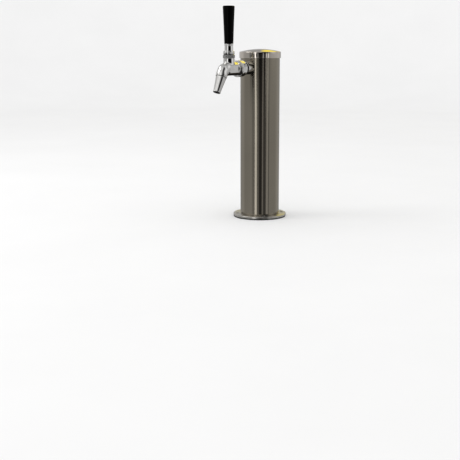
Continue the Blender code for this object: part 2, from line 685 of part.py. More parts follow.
def build_handle():
    ferrule_bore = STUD_RADIUS + 2.0 * GAP
    waist = 7.95 * MM
    bottom = LEVER_COLLAR_TOP + GAP
    top = GRIP_BOTTOM - GAP
    ferrule = revolve(
        "handle_ferrule",
        [
            (ferrule_bore, bottom), (waist + 0.35 * MM, bottom), (waist + 0.25 * MM, bottom + 1.2 * MM),
            (waist, top - 3.5 * MM), (waist + 0.2 * MM, top - 1.2 * MM), (waist + 0.45 * MM, top),
            (ferrule_bore, top),
        ],
        upright(LEVER_Y), chrome("ferrule_chrome"), FINE,
    )
    insert_bore = STUD_RADIUS + GAP
    insert_outer = 6.9 * MM
    insert_bottom = GRIP_BOTTOM + 0.2 * MM
    insert_top = GRIP_BOTTOM + 16.5 * MM
    insert = revolve(
        "handle_insert",
        [
            (insert_bore, insert_bottom), (insert_outer, insert_bottom),
            (insert_outer, insert_top), (insert_bore, insert_top),
        ],
        upright(LEVER_Y), material("insert_brass", (0.75, 0.55, 0.25), 0.3, 1.0), COARSE,
    )
    cavity = insert_outer + GAP
    cavity_top = insert_top + 3.5 * MM
    grip = revolve(
        "handle_grip",
        [
            (0.0, cavity_top), (cavity, cavity_top - 1.0 * MM), (cavity, GRIP_BOTTOM),
            (8.1 * MM, GRIP_BOTTOM), (8.35 * MM, GRIP_BOTTOM + GAP), (8.55 * MM, GRIP_BOTTOM + 7.0 * MM),
            (9.15 * MM, GRIP_BOTTOM + 24.5 * MM), (10.0 * MM, GRIP_BOTTOM + 42.5 * MM),
            (10.95 * MM, GRIP_TOP - 2.2 * MM), (10.65 * MM, GRIP_TOP - 0.7 * MM),
            (9.8 * MM, GRIP_TOP), (0.0, GRIP_TOP),
        ],
        upright(LEVER_Y), material("grip_plastic", (0.01, 0.01, 0.01), 0.25, 0.0), FINE,
    )
    return [ferrule, insert, grip]


def build_shuttle():
    guide = CHAMBER_RADIUS - GAP
    waist = 4.2 * MM
    block = 6.2 * MM
    shoulder = 6.0 * MM
    stem = 3.2 * MM
    button = 3.9 * MM
    nose = SEAT_STATION + 0.1 * MM
    nose_end = nose + 1.5 * MM
    outline = [
        (0.0, -15.0 * MM), (guide - 0.9 * MM, -15.0 * MM), (guide, -14.0 * MM), (guide, -10.5 * MM),
        (waist, -9.0 * MM), (waist, -6.5 * MM), (block, -5.5 * MM), (block, 5.5 * MM),
        (waist, 6.5 * MM), (waist, 7.2 * MM), (shoulder, 7.5 * MM), (shoulder, 8.3 * MM),
        (stem, 8.5 * MM),
    ]
    outline = [(radius, LEVER_STATION + offset) for radius, offset in outline]
    outline += [(stem, nose - 0.3 * MM), (button, nose), (button, nose + 0.7 * MM)]
    outline += [(button - 0.9 * MM, nose_end), (0.0, nose_end)]
    shuttle = revolve("shuttle", outline, along_faucet(), steel("shuttle_steel", 0.2), COARSE)
    slot_half = FINGER_TIP_RADIUS + 0.4 * MM
    slot = [
        (LEVER_Y - slot_half, FAUCET_Z - 4.0 * MM), (LEVER_Y + slot_half, FAUCET_Z - 4.0 * MM),
        (LEVER_Y + slot_half, FAUCET_Z + 8.0 * MM), (LEVER_Y - slot_half, FAUCET_Z + 8.0 * MM),
    ]
    flat = FAUCET_Z + 2.5 * MM
    table_front = LEVER_Y - 6.9 * MM
    table_back = LEVER_Y + 8.0 * MM
    table = [(table_front, flat), (table_back, flat)]
    table += [(table_back, FAUCET_Z + 8.0 * MM), (table_front, FAUCET_Z + 8.0 * MM)]
    mesh = bmesh.new()
    flutes = 4
    flute_radius = 2.0 * MM
    for step in range(flutes):
        turn = Matrix.Rotation(2.0 * pi * step / flutes, 4, "Z")
        shift = Matrix.Translation((guide, 0.0, LEVER_STATION - 12.5 * MM))
        bmesh.ops.create_cone(
            mesh, cap_ends=True, segments=10, radius1=flute_radius, radius2=flute_radius, depth=8.0 * MM,
            matrix=turn @ shift,
        )
    cut(
        shuttle,
        prism("shuttle_table_cutter", table, 8.0 * MM),
        prism("shuttle_slot_cutter", slot, slot_half),
        add_object("shuttle_flute_cutter", mesh, along_faucet(), None),
    )
    seal_middle = SEAT_STATION - 1.7 * MM
    seal = torus("shuttle_seal", 4.75 * MM, 1.3 * MM, seal_middle, along_faucet(), rubber("seat_rubber"))
    hang_on("shuttle_slide", along_faucet(), [shuttle, seal])


def main():
    for item in list(bpy.data.objects):
        bpy.data.objects.remove(item)
    build_base()
    build_column()
    build_cap()
    build_shank()
    build_back_hardware()
    build_tailpiece()
    build_coupling()
    build_faucet_body()
    build_spout()
    build_bonnet()
    build_shuttle()
    moving = [build_lever(), build_lever_collar()] + build_handle()
    hang_on("lever_tilt", upright(LEVER_Y, PIVOT_Z), moving)


main()
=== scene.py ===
"""Beer tap tower: the finished look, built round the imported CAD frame."""

import json
from math import asin, cos, pi, radians, sin, tan

import bmesh
import bpy
import numpy as np
from mathutils import Matrix, Vector


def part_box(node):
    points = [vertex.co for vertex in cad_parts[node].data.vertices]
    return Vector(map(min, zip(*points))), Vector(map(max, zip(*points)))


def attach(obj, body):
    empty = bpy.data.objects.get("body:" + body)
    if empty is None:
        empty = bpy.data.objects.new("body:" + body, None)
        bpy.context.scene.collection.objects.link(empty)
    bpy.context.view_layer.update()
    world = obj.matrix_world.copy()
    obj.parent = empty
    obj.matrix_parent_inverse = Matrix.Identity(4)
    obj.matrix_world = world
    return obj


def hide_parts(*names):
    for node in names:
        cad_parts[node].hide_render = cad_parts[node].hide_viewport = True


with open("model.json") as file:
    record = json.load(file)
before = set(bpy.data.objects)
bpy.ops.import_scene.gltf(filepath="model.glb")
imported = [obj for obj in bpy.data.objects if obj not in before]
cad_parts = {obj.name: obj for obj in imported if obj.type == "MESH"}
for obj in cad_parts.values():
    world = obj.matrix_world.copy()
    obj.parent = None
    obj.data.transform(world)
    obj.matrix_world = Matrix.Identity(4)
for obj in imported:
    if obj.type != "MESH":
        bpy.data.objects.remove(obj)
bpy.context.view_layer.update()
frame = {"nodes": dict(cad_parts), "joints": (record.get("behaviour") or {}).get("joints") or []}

MM = 0.001
GAP = 0.3 * MM
ON_AXIS = 0.001 * MM

# ---------------------------------------------------------------- sizes read from the frame
column_low, column_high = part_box("column_tube")
cap_low, cap_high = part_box("top_cap")
flange_low, flange_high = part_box("base_flange")
gasket_low, gasket_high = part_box("base_gasket")
nut_low, nut_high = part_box("coupling_nut")
collar_low, collar_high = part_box("shank_collar")
body_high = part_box("faucet_body")[1]
grip_low, grip_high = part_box("handle_grip")
lever_collar_low, lever_collar_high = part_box("lever_collar")
bonnet_low, bonnet_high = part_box("bonnet")

COLUMN_Y = (column_low.y + column_high.y) / 2.0
COLUMN_RADIUS = (column_high.x - column_low.x) / 2.0
COLUMN_WALL = 1.2 * MM
FLANGE_RADIUS = (flange_high.x - flange_low.x) / 2.0
CAP_RADIUS = (cap_high.x - cap_low.x) / 2.0
FAUCET_Z = (nut_low.z + nut_high.z) / 2.0
NUT_RADIUS = (nut_high.x - nut_low.x) / 2.0
COLLAR_RADIUS = (collar_high.x - collar_low.x) / 2.0
LEVER_Y = (grip_low.y + grip_high.y) / 2.0
TILT = next(joint for joint in frame["joints"] if joint["name"] == "lever_tilt")
PIVOT_Z = TILT["pos_m"][2]
TILT_RANGE = radians(TILT["range_deg"][1])

LEVER_STATION = COLUMN_Y - LEVER_Y
NUT_BACK = COLUMN_Y - nut_high.y
NUT_FRONT = COLUMN_Y - nut_low.y
COLLAR_FRONT = COLUMN_Y - collar_low.y
FAUCET_BACK = COLUMN_Y - body_high.y
BARREL_BACK = FAUCET_BACK + 11.5 * MM
BARREL_RADIUS = 12.5 * MM
BARREL_FLAT = 10.9 * MM
CHAMBER_RADIUS = 7.2 * MM
ELBOW_STATION = 117.0 * MM
ELBOW_RADIUS = 9.8 * MM
BOSS_RADIUS = 10.2 * MM
BOSS_TOP = 309.9 * MM
SPOUT_TILT = radians(26.0)
SPOUT_JOINT = 16.0 * MM
SPOUT_SHOULDER = 16.6 * MM
SPOUT_TOP_RADIUS = 9.8 * MM
SPOUT_TIP_RADIUS = 7.0 * MM
SPOUT_END = 46.1 * MM
BALL_RADIUS = 6.5 * MM
NECK_RADIUS = 3.2 * MM
FINGER_RADIUS = 2.2 * MM
FINGER_TIP_RADIUS = 2.9 * MM
DOME_RADIUS = 16.0 * MM
DISH_RADIUS = 16.4 * MM
BONNET_RADIUS = (bonnet_high.x - bonnet_low.x) / 2.0
LEVER_COLLAR_RADIUS = (lever_collar_high.x - lever_collar_low.x) / 2.0
LEVER_COLLAR_TOP = lever_collar_high.z
STUD_RADIUS = 4.76 * MM
GRIP_BOTTOM = grip_low.z
GRIP_TOP = grip_high.z

ROUND = 128
FINE_ROUND = 192


# ---------------------------------------------------------------- places
def upright(y, z=0.0):
    """Local +Z stays up, at a place on the tower's plane of symmetry."""
    return Matrix.Translation((0.0, y, z))


def along_faucet():
    """Local +Z points forwards on the faucet's axis, so a height is a station."""
    return upright(COLUMN_Y, FAUCET_Z) @ Matrix.Rotation(pi / 2.0, 4, "X")


def along_spout():
    """Local +Z points down the spout, from the elbow's centre."""
    elbow = upright(COLUMN_Y - ELBOW_STATION, FAUCET_Z)
    return elbow @ Matrix.Rotation(pi - SPOUT_TILT, 4, "X")


# ---------------------------------------------------------------- outlines
def arc(radius, centre, start, end, steps):
    """Points (radius, height) of an arc whose centre is on the axis, by angle from +Z."""
    angles = [start + (end - start) * step / steps for step in range(steps + 1)]
    return [(radius * sin(angle), centre + radius * cos(angle)) for angle in angles]


def fillet(points, size=0.3 * MM, steps=4):
    """Round each corner of an outline. A point may carry its own corner size as a third value."""
    rounded = []
    count = len(points)
    closed = points[0][0] > ON_AXIS
    for index, point in enumerate(points):
        corner = point[2] if len(point) > 2 else size
        here = Vector(point[:2])
        ends = index in (0, count - 1) and not closed
        if ends or corner <= 0.0:
            rounded.append(tuple(here))
            continue
        before = Vector(points[index - 1][:2]) - here
        after = Vector(points[(index + 1) % count][:2]) - here
        turn = before.angle(after)
        if turn > radians(172.0):
            rounded.append(tuple(here))
            continue
        reach = min(corner / tan(turn / 2.0), 0.45 * before.length, 0.45 * after.length)
        start = here + before.normalized() * reach
        end = here + after.normalized() * reach
        for step in range(steps + 1):
            t = step / steps
            rounded.append(tuple(start * (1 - t) ** 2 + here * 2 * t * (1 - t) + end * t ** 2))
    return rounded


# ---------------------------------------------------------------- meshes
def smooth_by_angle(mesh, limit=radians(40.0)):
    """Shade smooth, but keep edges sharper than the limit."""
    for face in mesh.faces:
        face.smooth = True
    for edge in mesh.edges:
        if len(edge.link_faces) == 2:
            edge.smooth = edge.calc_face_angle(0.0) < limit


def add_piece(name, mesh, place, finish, body, nodes=(), weighted=True):
    """Put a finished bmesh into the scene, and say what it rides on and replaces."""
    bmesh.ops.remove_doubles(mesh, verts=mesh.verts, dist=ON_AXIS)
    bmesh.ops.recalc_face_normals(mesh, faces=mesh.faces)
    smooth_by_angle(mesh)
    data = bpy.data.meshes.new(name)
    mesh.to_mesh(data)
    mesh.free()
    piece = bpy.data.objects.new(name, data)
    piece.matrix_world = place
    bpy.context.scene.collection.objects.link(piece)
    if finish:
        data.materials.append(finish)
    if weighted:
        modifier = piece.modifiers.new("weighted_normals", "WEIGHTED_NORMAL")
        modifier.keep_sharp = True
    if body:
        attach(piece, body)
    if nodes:
        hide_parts(*nodes)
    return piece


def lathe(outline, segments=ROUND, shape=None):
    """Turn an outline of (radius, height) points round +Z into a bmesh.

    shape(radius, height, angle) may return a changed radius, for flutes and knurls.
    """
    mesh = bmesh.new()
    closed = outline[0][0] > ON_AXIS
    rings = []
    for radius, height in outline:
        if radius <= ON_AXIS:
            rings.append([mesh.verts.new((0.0, 0.0, height))])
            continue
        ring = []
        for step in range(segments):
            angle = 2.0 * pi * step / segments
            at = shape(radius, height, angle) if shape else radius
            ring.append(mesh.verts.new((at * cos(angle), at * sin(angle), height)))
        rings.append(ring)
    pairs = list(zip(rings, rings[1:]))
    if closed:
        pairs.append((rings[-1], rings[0]))
    for one, other in pairs:
        for step in range(segments):
            after = (step + 1) % segments
            corners = [one[step % len(one)], one[after % len(one)]]
            corners += [other[after % len(other)], other[step % len(other)]]
            corners = list(dict.fromkeys(corners))
            if len(corners) > 2:
                mesh.faces.new(corners)
    return mesh


def guide(name, mesh, place):
    """A helper object made from a bmesh: a cutter, a rough shape, or the studio's floor."""
    bmesh.ops.recalc_face_normals(mesh, faces=mesh.faces)
    data = bpy.data.meshes.new(name)
    mesh.to_mesh(data)
    mesh.free()
    tool = bpy.data.objects.new(name, data)
    tool.matrix_world = place
    bpy.context.scene.collection.objects.link(tool)
    return tool


def carve(piece, tools, operation="DIFFERENCE"):
    """Apply Booleans to a piece and remove their tools."""
    keep = list(piece.modifiers)
    for modifier in keep:
        modifier.show_viewport = False
    added = []
    for tool in tools:
        modifier = piece.modifiers.new(tool.name, "BOOLEAN")
        modifier.operation = operation
        modifier.solver = "MANIFOLD"
        modifier.object = tool
        added.append(modifier)
    bpy.context.view_layer.update()
    evaluated = piece.evaluated_get(bpy.context.evaluated_depsgraph_get())
    data = bpy.data.meshes.new_from_object(evaluated)
    for modifier in added:
        piece.modifiers.remove(modifier)
    mesh = bmesh.new()
    mesh.from_mesh(data)
    smooth_by_angle(mesh)
    mesh.to_mesh(data)
    mesh.free()
    old = piece.data
    data.name = old.name
    piece.data = data
    bpy.data.meshes.remove(old)
    for modifier in keep:
        modifier.show_viewport = True
    for tool in tools:
        bpy.data.objects.remove(tool)


def prism(outline, half_width):
    """Extrude an outline of (y, z) points by half_width to each side in X."""
    mesh = bmesh.new()
    face = mesh.faces.new([mesh.verts.new((-half_width, y, z)) for y, z in outline])
    extruded = bmesh.ops.extrude_face_region(mesh, geom=[face])
    moved = [item for item in extruded["geom"] if isinstance(item, bmesh.types.BMVert)]
    bmesh.ops.translate(mesh, verts=moved, vec=(2.0 * half_width, 0.0, 0.0))
    return mesh


def drills(places, radius, depth, segments=32):
    """Several round holes in one cutter."""
    mesh = bmesh.new()
    for place in places:
        bmesh.ops.create_cone(
            mesh, cap_ends=True, segments=segments, radius1=radius, radius2=radius, depth=depth, matrix=place,
        )
    return mesh


# ---------------------------------------------------------------- materials
class Nodes:
    """A small helper that adds linked shader nodes."""

    def __init__(self, tree):
        self.tree = tree

    def add(self, kind, **inputs):
        node = self.tree.nodes.new(kind)
        for name, value in inputs.items():
            by_number = name[0] == "i" and name[1:].isdigit()
            socket = node.inputs[int(name[1:])] if by_number else node.inputs[name]
            if isinstance(value, bpy.types.NodeSocket):
                self.tree.links.new(value, socket)
            else:
                socket.default_value = value
        return node

    def math(self, operation, a, b=0.0):
        node = self.add("ShaderNodeMath", i0=a, i1=b)
        node.operation = operation
        return node.outputs[0]

    def ramp(self, factor, stops):
        """A colour ramp from (place, colour or grey) stops."""
        node = self.add("ShaderNodeValToRGB", Fac=factor)
        elements = node.color_ramp.elements
        while len(elements) < len(stops):
            elements.new(0.5)
        for element, (place, colour) in zip(elements, stops):
            element.position = place
            grey = isinstance(colour, (int, float))
            element.color = (colour, colour, colour, 1.0) if grey else (*colour, 1.0)
        return node.outputs["Color"]

    def noise(self, vector, scale, detail=4.0, roughness=0.6):
        node = self.add("ShaderNodeTexNoise", Vector=vector, Scale=scale, Detail=detail, Roughness=roughness)
        return node.outputs["Fac"]


def new_material(name):
    made = bpy.data.materials.new(name)
    made.use_nodes = True
    tree = made.node_tree
    return made, Nodes(tree), tree.nodes["Principled BSDF"]


def turned_coordinates(nodes, across, along):
    """Object coordinates stretched so that noise runs in rings round local +Z, on sides and faces alike."""
    place = nodes.add("ShaderNodeTexCoord").outputs["Object"]
    split = nodes.add("ShaderNodeSeparateXYZ", Vector=place)
    x, y, z = split.outputs
    radius = nodes.math("SQRT", nodes.math("ADD", nodes.math("MULTIPLY", x, x), nodes.math("MULTIPLY", y, y)))
    fine = nodes.math("MULTIPLY", nodes.math("ADD", z, radius), along)
    wide = nodes.add("ShaderNodeCombineXYZ")
    nodes.tree.links.new(nodes.math("MULTIPLY", x, across), wide.inputs[0])
    nodes.tree.links.new(nodes.math("MULTIPLY", y, across), wide.inputs[1])
    nodes.tree.links.new(fine, wide.inputs[2])
    return wide.outputs[0], place


def turned_metal(name, colour, roughness, grain=0.25, anisotropy=0.0, across=14.0, along=5200.0, wear=0.06):
    """Metal finished on a lathe: rings of fine grain, faint blotches and handling marks."""
    made, nodes, shader = new_material(name)
    rings, place = turned_coordinates(nodes, across, along)
    fine = nodes.noise(rings, 1.0, 3.0, 0.7)
    smudge = nodes.noise(place, 38.0, 5.0, 0.62)
    blotch = nodes.noise(place, 11.0, 3.0, 0.5)
    shade = nodes.math("ADD", nodes.math("MULTIPLY", fine, 0.35), nodes.math("MULTIPLY", blotch, 0.65))
    dark = tuple(channel * (1.0 - 1.6 * wear) for channel in colour)
    light = tuple(min(1.0, channel * (1.0 + wear)) for channel in colour)
    tone = nodes.ramp(shade, [(0.3, dark), (0.7, light)])
    nodes.tree.links.new(tone, shader.inputs["Base Color"])
    rough = nodes.math("ADD", nodes.math("MULTIPLY", fine, roughness * 0.5), roughness * 0.6)
    rough = nodes.math("ADD", rough, nodes.math("MULTIPLY", smudge, roughness * 0.35))
    nodes.tree.links.new(rough, shader.inputs["Roughness"])
    shader.inputs["Metallic"].default_value = 1.0
    shader.inputs["Anisotropic"].default_value = anisotropy
    shader.inputs["Anisotropic Rotation"].default_value = 0.25
    if anisotropy:
        tangent = nodes.add("ShaderNodeTangent")
        tangent.direction_type = "RADIAL"
        tangent.axis = "Z"
        nodes.tree.links.new(tangent.outputs[0], shader.inputs["Tangent"])
    bump = nodes.add("ShaderNodeBump", Strength=grain, Distance=0.02 * MM, Height=fine)
    nodes.tree.links.new(bump.outputs[0], shader.inputs["Normal"])
    return made


def polished_metal(name, colour, roughness=0.05, scratch=0.08):
    """Bright polished metal with faint smears and hairline scratches."""
    made, nodes, shader = new_material(name)
    place = nodes.add("ShaderNodeTexCoord").outputs["Object"]
    smear = nodes.noise(place, 90.0, 6.0, 0.6)
    stretched = nodes.add("ShaderNodeMapping", Vector=place)
    stretched.inputs["Scale"].default_value = (300.0, 2400.0, 500.0)
    stretched.inputs["Rotation"].default_value = (0.3, 0.5, 0.7)
    hair = nodes.noise(stretched.outputs[0], 1.0, 2.0, 0.5)
    tone = nodes.ramp(smear, [(0.3, tuple(c * 0.93 for c in colour)), (0.72, colour)])
    nodes.tree.links.new(tone, shader.inputs["Base Color"])
    rough = nodes.math("ADD", nodes.math("MULTIPLY", smear, roughness * 0.9), roughness * 0.55)
    nodes.tree.links.new(rough, shader.inputs["Roughness"])
    shader.inputs["Metallic"].default_value = 1.0
    bump = nodes.add("ShaderNodeBump", Strength=scratch, Distance=0.01 * MM, Height=hair)
    nodes.tree.links.new(bump.outputs[0], shader.inputs["Normal"])
    return made


def moulded_plastic(name, colour, roughness, grain_scale=1800.0, grain=0.12, specular=0.5):
    """Moulded plastic with a very fine skin and a few dull patches from handling."""
    made, nodes, shader = new_material(name)
    place = nodes.add("ShaderNodeTexCoord").outputs["Object"]
    skin = nodes.noise(place, grain_scale, 2.0, 0.5)
    shader.inputs["Specular IOR Level"].default_value = specular
    touch = nodes.noise(place, 45.0, 5.0, 0.6)
    tone = nodes.ramp(touch, [(0.3, colour), (0.75, tuple(c * 1.5 for c in colour))])
    nodes.tree.links.new(tone, shader.inputs["Base Color"])
    rough = nodes.math("ADD", nodes.math("MULTIPLY", touch, roughness * 0.6), roughness * 0.7)
    nodes.tree.links.new(rough, shader.inputs["Roughness"])
    bump = nodes.add("ShaderNodeBump", Strength=grain, Distance=0.02 * MM, Height=skin)
    nodes.tree.links.new(bump.outputs[0], shader.inputs["Normal"])
    return made


def foam(name, colour):
    """Closed-cell foam: small cells, matt."""
    made, nodes, shader = new_material(name)
    place = nodes.add("ShaderNodeTexCoord").outputs["Object"]
    cells = nodes.add("ShaderNodeTexVoronoi", Vector=place, Scale=900.0).outputs["Distance"]
    tone = nodes.ramp(cells, [(0.0, tuple(c * 0.6 for c in colour)), (0.6, colour)])
    nodes.tree.links.new(tone, shader.inputs["Base Color"])
    shader.inputs["Roughness"].default_value = 0.95
    bump = nodes.add("ShaderNodeBump", Strength=0.6, Distance=0.3 * MM, Height=cells)
    nodes.tree.links.new(bump.outputs[0], shader.inputs["Normal"])
    return made


STEEL = (0.345, 0.312, 0.255)
BRIGHT = (0.88, 0.875, 0.86)

column_finish = turned_metal("column_brushed_steel", STEEL, 0.1, 0.15, 0.6, 10.0, 3600.0)
cap_finish = turned_metal("cap_brushed_steel", (0.7, 0.645, 0.58), 0.05, 0.12, 0.4, 12.0, 4200.0)
flange_finish = turned_metal("flange_satin_steel", (0.6, 0.58, 0.54), 0.28, 0.3, 0.5)
chrome_finish = polished_metal("polished_chrome", BRIGHT, 0.03)
cast_finish = polished_metal("polished_casting", (0.84, 0.83, 0.81), 0.04, 0.1)
# The knurled bonnet's base colour is set far darker than the other polished parts: painted shade standing in for the
# dim, dull look of the knurl.
knurl_shaded_finish = polished_metal("knurled_steel_painted_shade", (0.4, 0.4, 0.39), 0.14, 0.15)
thread_finish = turned_metal("cut_steel", (0.45, 0.44, 0.42), 0.3, 0.3)
machined_finish = turned_metal("machined_steel", (0.6, 0.6, 0.58), 0.25, 0.3)
brass_finish = turned_metal("machined_brass", (0.78, 0.58, 0.27), 0.22, 0.3)
grip_finish = moulded_plastic("black_grip_plastic", (0.0006, 0.0006, 0.0006), 0.3, specular=0.06)
rubber_finish = moulded_plastic("black_rubber", (0.018, 0.018, 0.018), 0.62, 2600.0, 0.4)
nylon_finish = moulded_plastic("natural_nylon", (0.62, 0.61, 0.56), 0.42)
foam_finish = foam("insulation_foam", (0.09, 0.09, 0.095))


# ---------------------------------------------------------------- base and column
def build_base():
    opening = 33.6 * MM
    low, high = gasket_low.z, gasket_high.z
    outer = (gasket_high.x - gasket_low.x) / 2.0
    soft = 0.5 * MM
    gasket = add_piece(
        "base_gasket_ring",
        lathe(fillet([(opening, low), (outer, low), (outer, high), (opening, high)], soft), FINE_ROUND),
        upright(COLUMN_Y), rubber_finish, "column", ["base_gasket"],
    )
    top = flange_high.z
    outline = [
        (opening, flange_low.z), (FLANGE_RADIUS, flange_low.z, 0.4 * MM), (FLANGE_RADIUS, top, 1.0 * MM),
        (opening, top),
    ]
    flange = add_piece(
        "base_flange_plate", lathe(fillet(outline), FINE_ROUND),
        upright(COLUMN_Y), flange_finish, "column", ["base_flange"],
    )
    screw_circle = 43.8 * MM
    places = []
    for quarter in range(4):
        turn = Matrix.Rotation(pi / 4.0 + quarter * pi / 2.0, 4, "Z")
        places.append(turn @ Matrix.Translation((screw_circle, 0.0, 0.0)))
    for piece in (gasket, flange):
        carve(piece, [guide("screw_holes", drills(places, 3.25 * MM, 30.0 * MM), upright(COLUMN_Y))])
    rims = []
    for place in places:
        rims.append(place @ Matrix.Translation((0.0, 0.0, top)))
    chamfers = bmesh.new()
    for place in rims:
        bmesh.ops.create_cone(
            chamfers, cap_ends=True, segments=32, radius1=3.0 * MM, radius2=4.0 * MM, depth=1.0 * MM, matrix=place,
        )
    carve(flange, [guide("screw_chamfers", chamfers, upright(COLUMN_Y))])


def build_column():
    inner = COLUMN_RADIUS - COLUMN_WALL
    outline = [
        (inner, column_low.z), (COLUMN_RADIUS, column_low.z), (COLUMN_RADIUS, column_high.z),
        (inner, column_high.z),
    ]
    column = add_piece(
        "column_shell", lathe(fillet(outline, 0.25 * MM), FINE_ROUND),
        upright(COLUMN_Y), column_finish, "column", ["column_tube"],
    )
    hole = 11.7 * MM
    drill = [(0.0, COLUMN_RADIUS / 2.0), (hole, COLUMN_RADIUS / 2.0)]
    drill += [(hole, 1.2 * COLUMN_RADIUS), (0.0, 1.2 * COLUMN_RADIUS)]
    carve(column, [guide("shank_hole", lathe(drill, 96), along_faucet())])


def build_cap():
    shoulder = 321.2 * MM
    wall = 1.2 * MM
    rise = cap_high.z - shoulder
    chord = CAP_RADIUS - wall
    dome = (chord ** 2 + rise ** 2) / (2.0 * rise)
    centre = cap_high.z - dome
    inner_edge = asin((chord - wall) / dome)
    skirt_inner = CAP_RADIUS - 1.5 * MM
    outline = arc(dome, centre, 0.0, asin(chord / dome), 16)
    outline += [(CAP_RADIUS - 0.55 * MM, shoulder - 0.15 * MM), (CAP_RADIUS - 0.12 * MM, shoulder - 0.6 * MM)]
    outline += [(CAP_RADIUS, shoulder - 1.3 * MM)]
    outline += [(CAP_RADIUS, cap_low.z + 0.5 * MM), (CAP_RADIUS - 0.15 * MM, cap_low.z + 0.15 * MM)]
    outline += [(CAP_RADIUS - 0.5 * MM, cap_low.z), (skirt_inner, cap_low.z)]
    outline += [(skirt_inner, shoulder - 1.6 * wall)]
    outline += arc(dome - wall, centre, inner_edge, 0.0, 16)
    add_piece(
        "domed_cap", lathe(outline, FINE_ROUND), upright(COLUMN_Y), cap_finish,
        "cap", ["top_cap"],
    )


# ---------------------------------------------------------------- shank and coupling
def threads(radius, start, end, pitch, depth):
    """Outline points of a row of thread crests between two heights."""
    points = []
    count = int((end - start) / pitch)
    for turn in range(count):
        crest = start + (turn + 0.5) * pitch
        points += [(radius - depth, crest - 0.5 * pitch), (radius, crest - 0.12 * pitch)]
        points += [(radius, crest + 0.12 * pitch)]
    points.append((radius - depth, start + count * pitch))
    return points


def build_shank():
    radius = 11.1 * MM
    head = 13.9 * MM
    bore = 3.175 * MM
    back = 12.0 * MM
    front = 68.6 * MM
    pitch = 25.4 * MM / 14.0
    outline = [(bore, back), (radius - 1.2 * MM, back)]
    outline += threads(radius, back + 0.8 * MM, COLLAR_FRONT - 4.0 * MM, pitch, 1.0 * MM)
    outline += [(radius, COLLAR_FRONT - 3.5 * MM), (radius, COLLAR_FRONT + 3.0 * MM)]
    outline += [(head - 1.0 * MM, NUT_BACK - 3.6 * MM)]
    outline += threads(head, NUT_BACK - 3.4 * MM, front - 0.6 * MM, 25.4 * MM / 18.0, 0.8 * MM)
    outline += [(head - 1.0 * MM, front), (5.0 * MM, front), (bore, front - 3.0 * MM)]
    add_piece(
        "threaded_shank", lathe(outline, 96), along_faucet(), thread_finish,
        "column", ["shank"], False,
    )
    inner = radius + GAP
    outline = [
        (inner, 0.8 * COLUMN_RADIUS), (COLLAR_RADIUS, 0.8 * COLUMN_RADIUS),
        (COLLAR_RADIUS, COLLAR_FRONT, 0.8 * MM), (inner, COLLAR_FRONT),
    ]
    collar = add_piece(
        "shank_spacer", lathe(fillet(outline)), along_faucet(), chrome_finish,
        "column", ["shank_collar"],
    )
    saddle = COLUMN_RADIUS + GAP
    reach = 2.0 * COLLAR_RADIUS
    drum = [(0.0, FAUCET_Z - reach), (saddle, FAUCET_Z - reach), (saddle, FAUCET_Z + reach), (0.0, FAUCET_Z + reach)]
    carve(collar, [guide("saddle", lathe(drum, FINE_ROUND), upright(COLUMN_Y))])


def build_coupling():
    thread = 14.2 * MM
    lip_bore = 9.4 * MM
    lip_back = NUT_FRONT - 2.0 * MM
    lip_front = NUT_FRONT - 0.6 * MM
    rim = NUT_RADIUS - 1.7 * MM
    groove = 0.35 * MM
    waist = NUT_FRONT - 4.2 * MM
    outline = [
        (thread, NUT_BACK), (NUT_RADIUS, NUT_BACK, 0.7 * MM), (NUT_RADIUS, waist - 0.5 * MM),
        (NUT_RADIUS - groove, waist), (NUT_RADIUS, waist + 0.5 * MM), (NUT_RADIUS, NUT_FRONT, 0.9 * MM),
        (rim, NUT_FRONT), (rim - 0.5 * MM, lip_front), (lip_bore, lip_front), (lip_bore, lip_back),
        (thread, lip_back),
    ]
    nut = add_piece(
        "round_coupling_nut", lathe(fillet(outline)), along_faucet(), chrome_finish,
        "column", ["coupling_nut"],
    )
    middle = (NUT_BACK + NUT_FRONT) / 2.0
    places = []
    holes = 6
    for step in range(holes):
        turn = Matrix.Rotation(pi / 6.0 + 2.0 * pi * step / holes, 4, "Z")
        shift = Matrix.Translation((NUT_RADIUS, 0.0, middle))
        places.append(turn @ shift @ Matrix.Rotation(pi / 2.0, 4, "Y"))
    carve(nut, [guide("spanner_holes", drills(places, 1.6 * MM, 4.0 * MM), along_faucet())])


# ---------------------------------------------------------------- faucet body
def blend_union(a, b, size):
    """The lower of two distance fields, with a fillet of about the given size."""
    h = np.maximum(size - np.abs(a - b), 0.0) / size
    return np.minimum(a, b) - h * h * size / 4.0


def blend_cut(a, b, size):
    return -blend_union(-a, -b, size)


